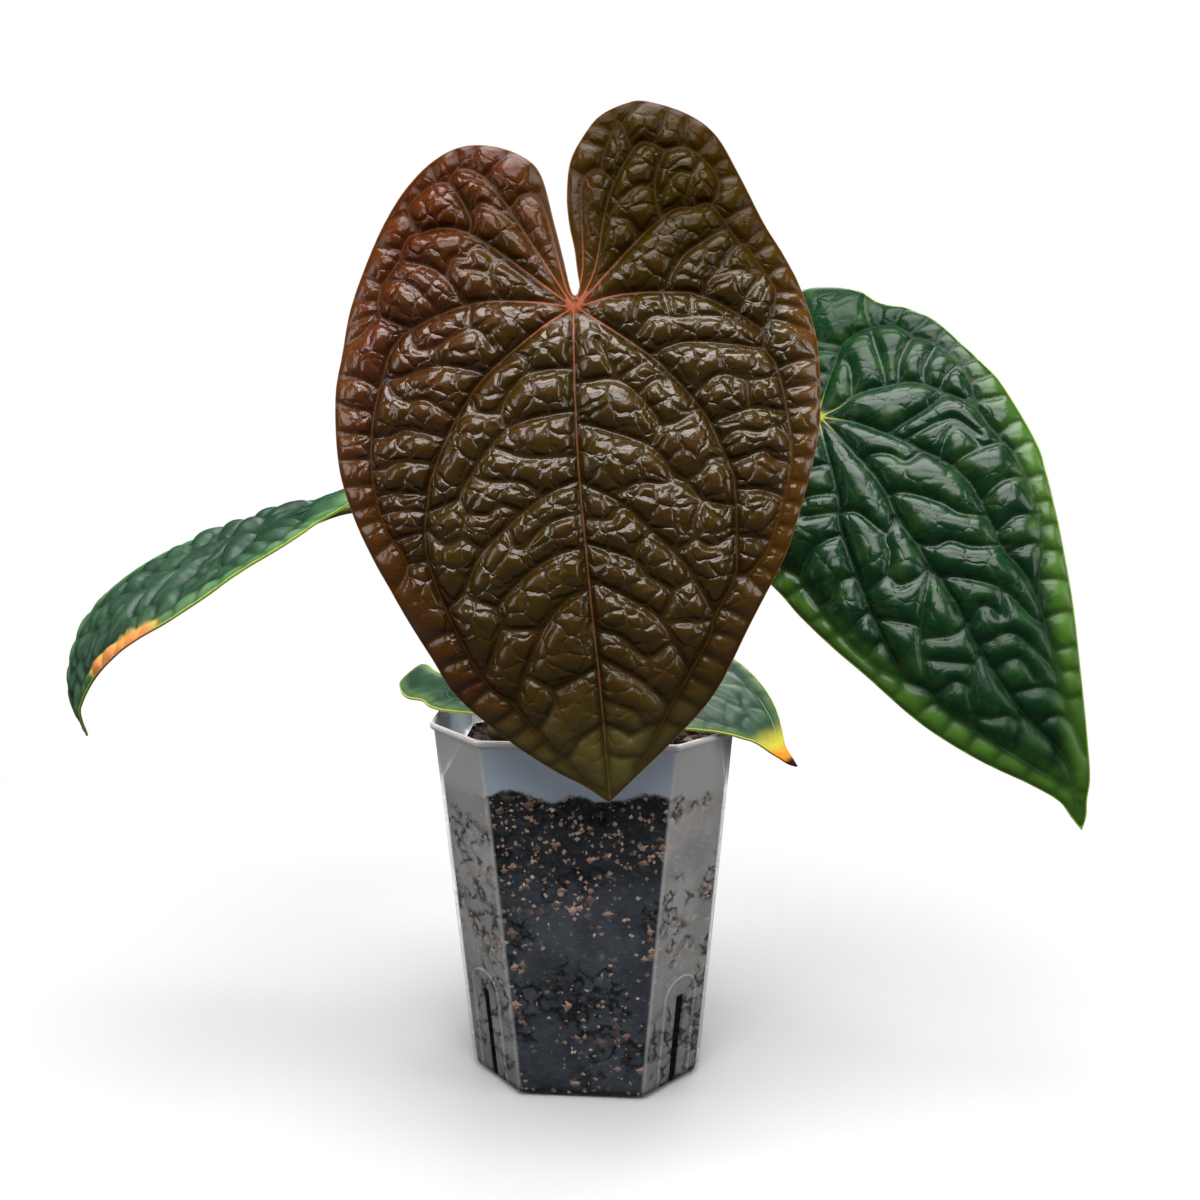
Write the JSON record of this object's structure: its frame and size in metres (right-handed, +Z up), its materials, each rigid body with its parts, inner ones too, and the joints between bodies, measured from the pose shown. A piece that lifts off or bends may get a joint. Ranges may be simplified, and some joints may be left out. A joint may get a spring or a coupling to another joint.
{
  "type": "potted anthurium luxurians",
  "caption": "House plant with puckered heart-shaped leaves on arching petioles, a short stem and bark substrate in a square nursery pot with cut corners.",
  "frame": {"origin": "centre of the pot's underside, where it rests", "axes": "+Z up out of the pot, +X to the right and -Y towards the viewer of the large hanging leaf"},
  "size_m": [0.4059, 0.1535, 0.3771],
  "materials": {
    "pot_plastic": "frosted translucent polypropylene",
    "substrate": "loose bark chips and fine dark substrate",
    "stem": "ringed green-brown stem",
    "root": "dull felted aerial root",
    "petiole": "smooth green leaf stalk",
    "bronze_leaf": "glossy young leaf, reddish bronze to olive",
    "green_leaf": "satin dark green leaf with a pale margin",
    "grey_green_leaf": "dull grey-green leaf with a burnt tip"
  },
  "bodies": {
    "root": {"pot": "pot_plastic", "soil": "substrate", "stem": "stem", "root_front": "root", "root_side": "root", "root_back": "root", "petiole_bronze": "petiole", "blade_bronze": "bronze_leaf", "petiole_right": "petiole", "blade_right": "green_leaf", "petiole_left": "petiole", "blade_left": "green_leaf", "petiole_small": "petiole", "blade_small": "grey_green_leaf"}
  },
  "joints": []
}
